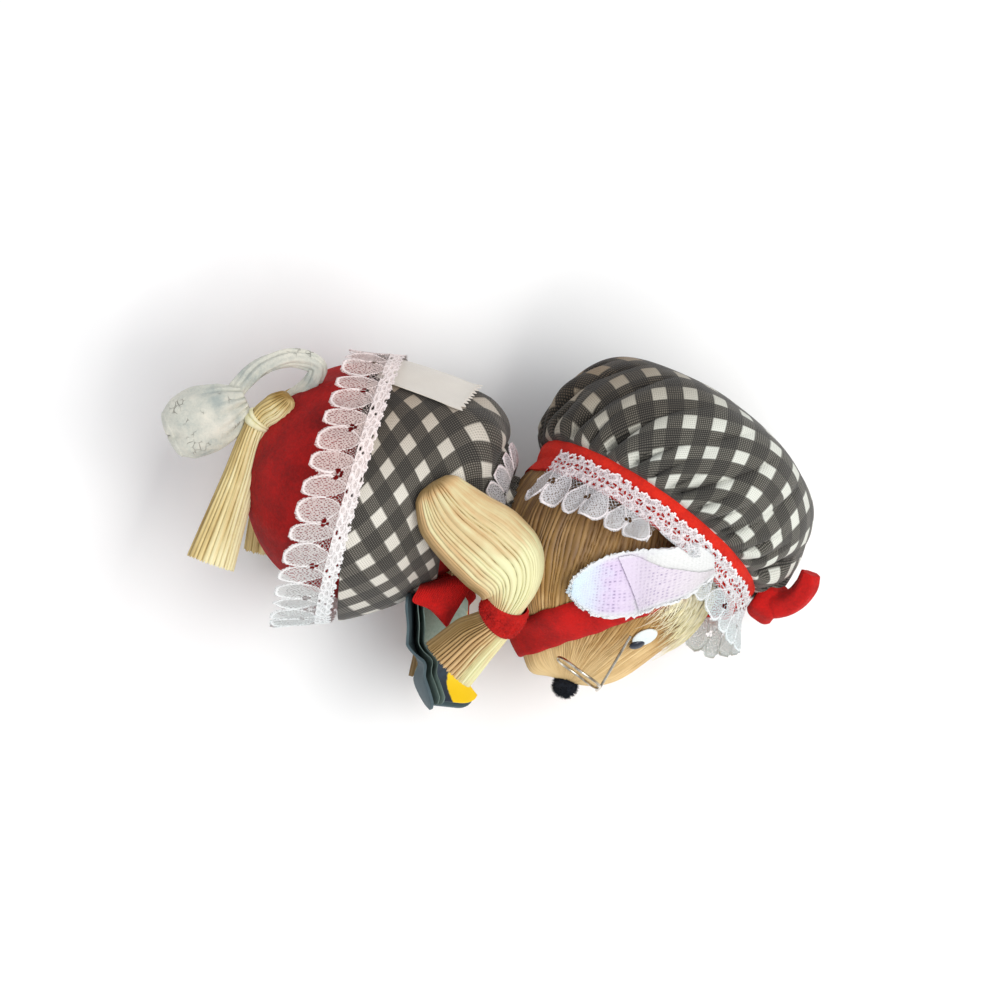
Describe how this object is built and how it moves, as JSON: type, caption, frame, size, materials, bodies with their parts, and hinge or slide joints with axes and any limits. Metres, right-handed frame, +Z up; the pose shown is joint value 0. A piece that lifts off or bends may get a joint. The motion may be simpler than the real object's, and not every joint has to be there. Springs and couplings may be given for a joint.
{
  "type": "corn husk mouse ornament",
  "caption": "Doll-sized mouse of dried corn husk in a gingham dress and a stuffed mob cap, reading an open booklet, lying on its side.",
  "frame": {"origin": "on the surface the mouse lies on, under the middle of its bounding box", "axes": "+X from the tail to the cap, +Y towards the mouse's back, +Z up, which is the mouse's right side"},
  "size_m": [0.1212, 0.0664, 0.0536],
  "materials": {
    "husk": "dry ribbed corn husk, satin",
    "husk_head": "dry corn husk in fine pleats, satin",
    "pompom": "fuzzy",
    "white_felt": "matte",
    "black_gloss": "semi-gloss",
    "ear_cloth": "woven, matte",
    "hair": "fine fibre",
    "red_felt": "felt, matte",
    "red_plush": "short pile, matte",
    "red_chenille": "looped pile",
    "red_ribbon": "ribbed weave",
    "gingham": "open plain weave, matte",
    "lace": "knitted lace, matte",
    "label_cloth": "smooth ribbon, satin",
    "tail_cloth": "worn woven strip, matte",
    "paper": "coated paper card",
    "wire": "thin bent wire, bright"
  },
  "bodies": {
    "root": {"head": "husk_head", "nose": "pompom", "right_eye": "white_felt", "left_eye": "white_felt", "right_pupil": "black_gloss", "left_pupil": "black_gloss", "right_ear": "ear_cloth", "left_ear": "ear_cloth", "hair": "hair", "chin_strap": "red_felt", "spectacles": "wire", "cap_crown": "gingham", "cap_band": "red_felt", "cap_lace": "lace", "cap_bow": "red_felt", "body": "red_plush", "dress": "gingham", "hem_lace": "lace", "collar_lace": "lace", "label": "label_cloth", "booklet": "paper", "right_arm": "husk", "left_arm": "husk", "right_wrist_tie": "red_chenille", "left_wrist_ribbon": "red_ribbon", "right_foot": "husk", "left_foot": "husk", "right_foot_tie": "husk", "left_foot_tie": "husk", "tail": "tail_cloth", "tail_roll": "tail_cloth"}
  },
  "joints": []
}
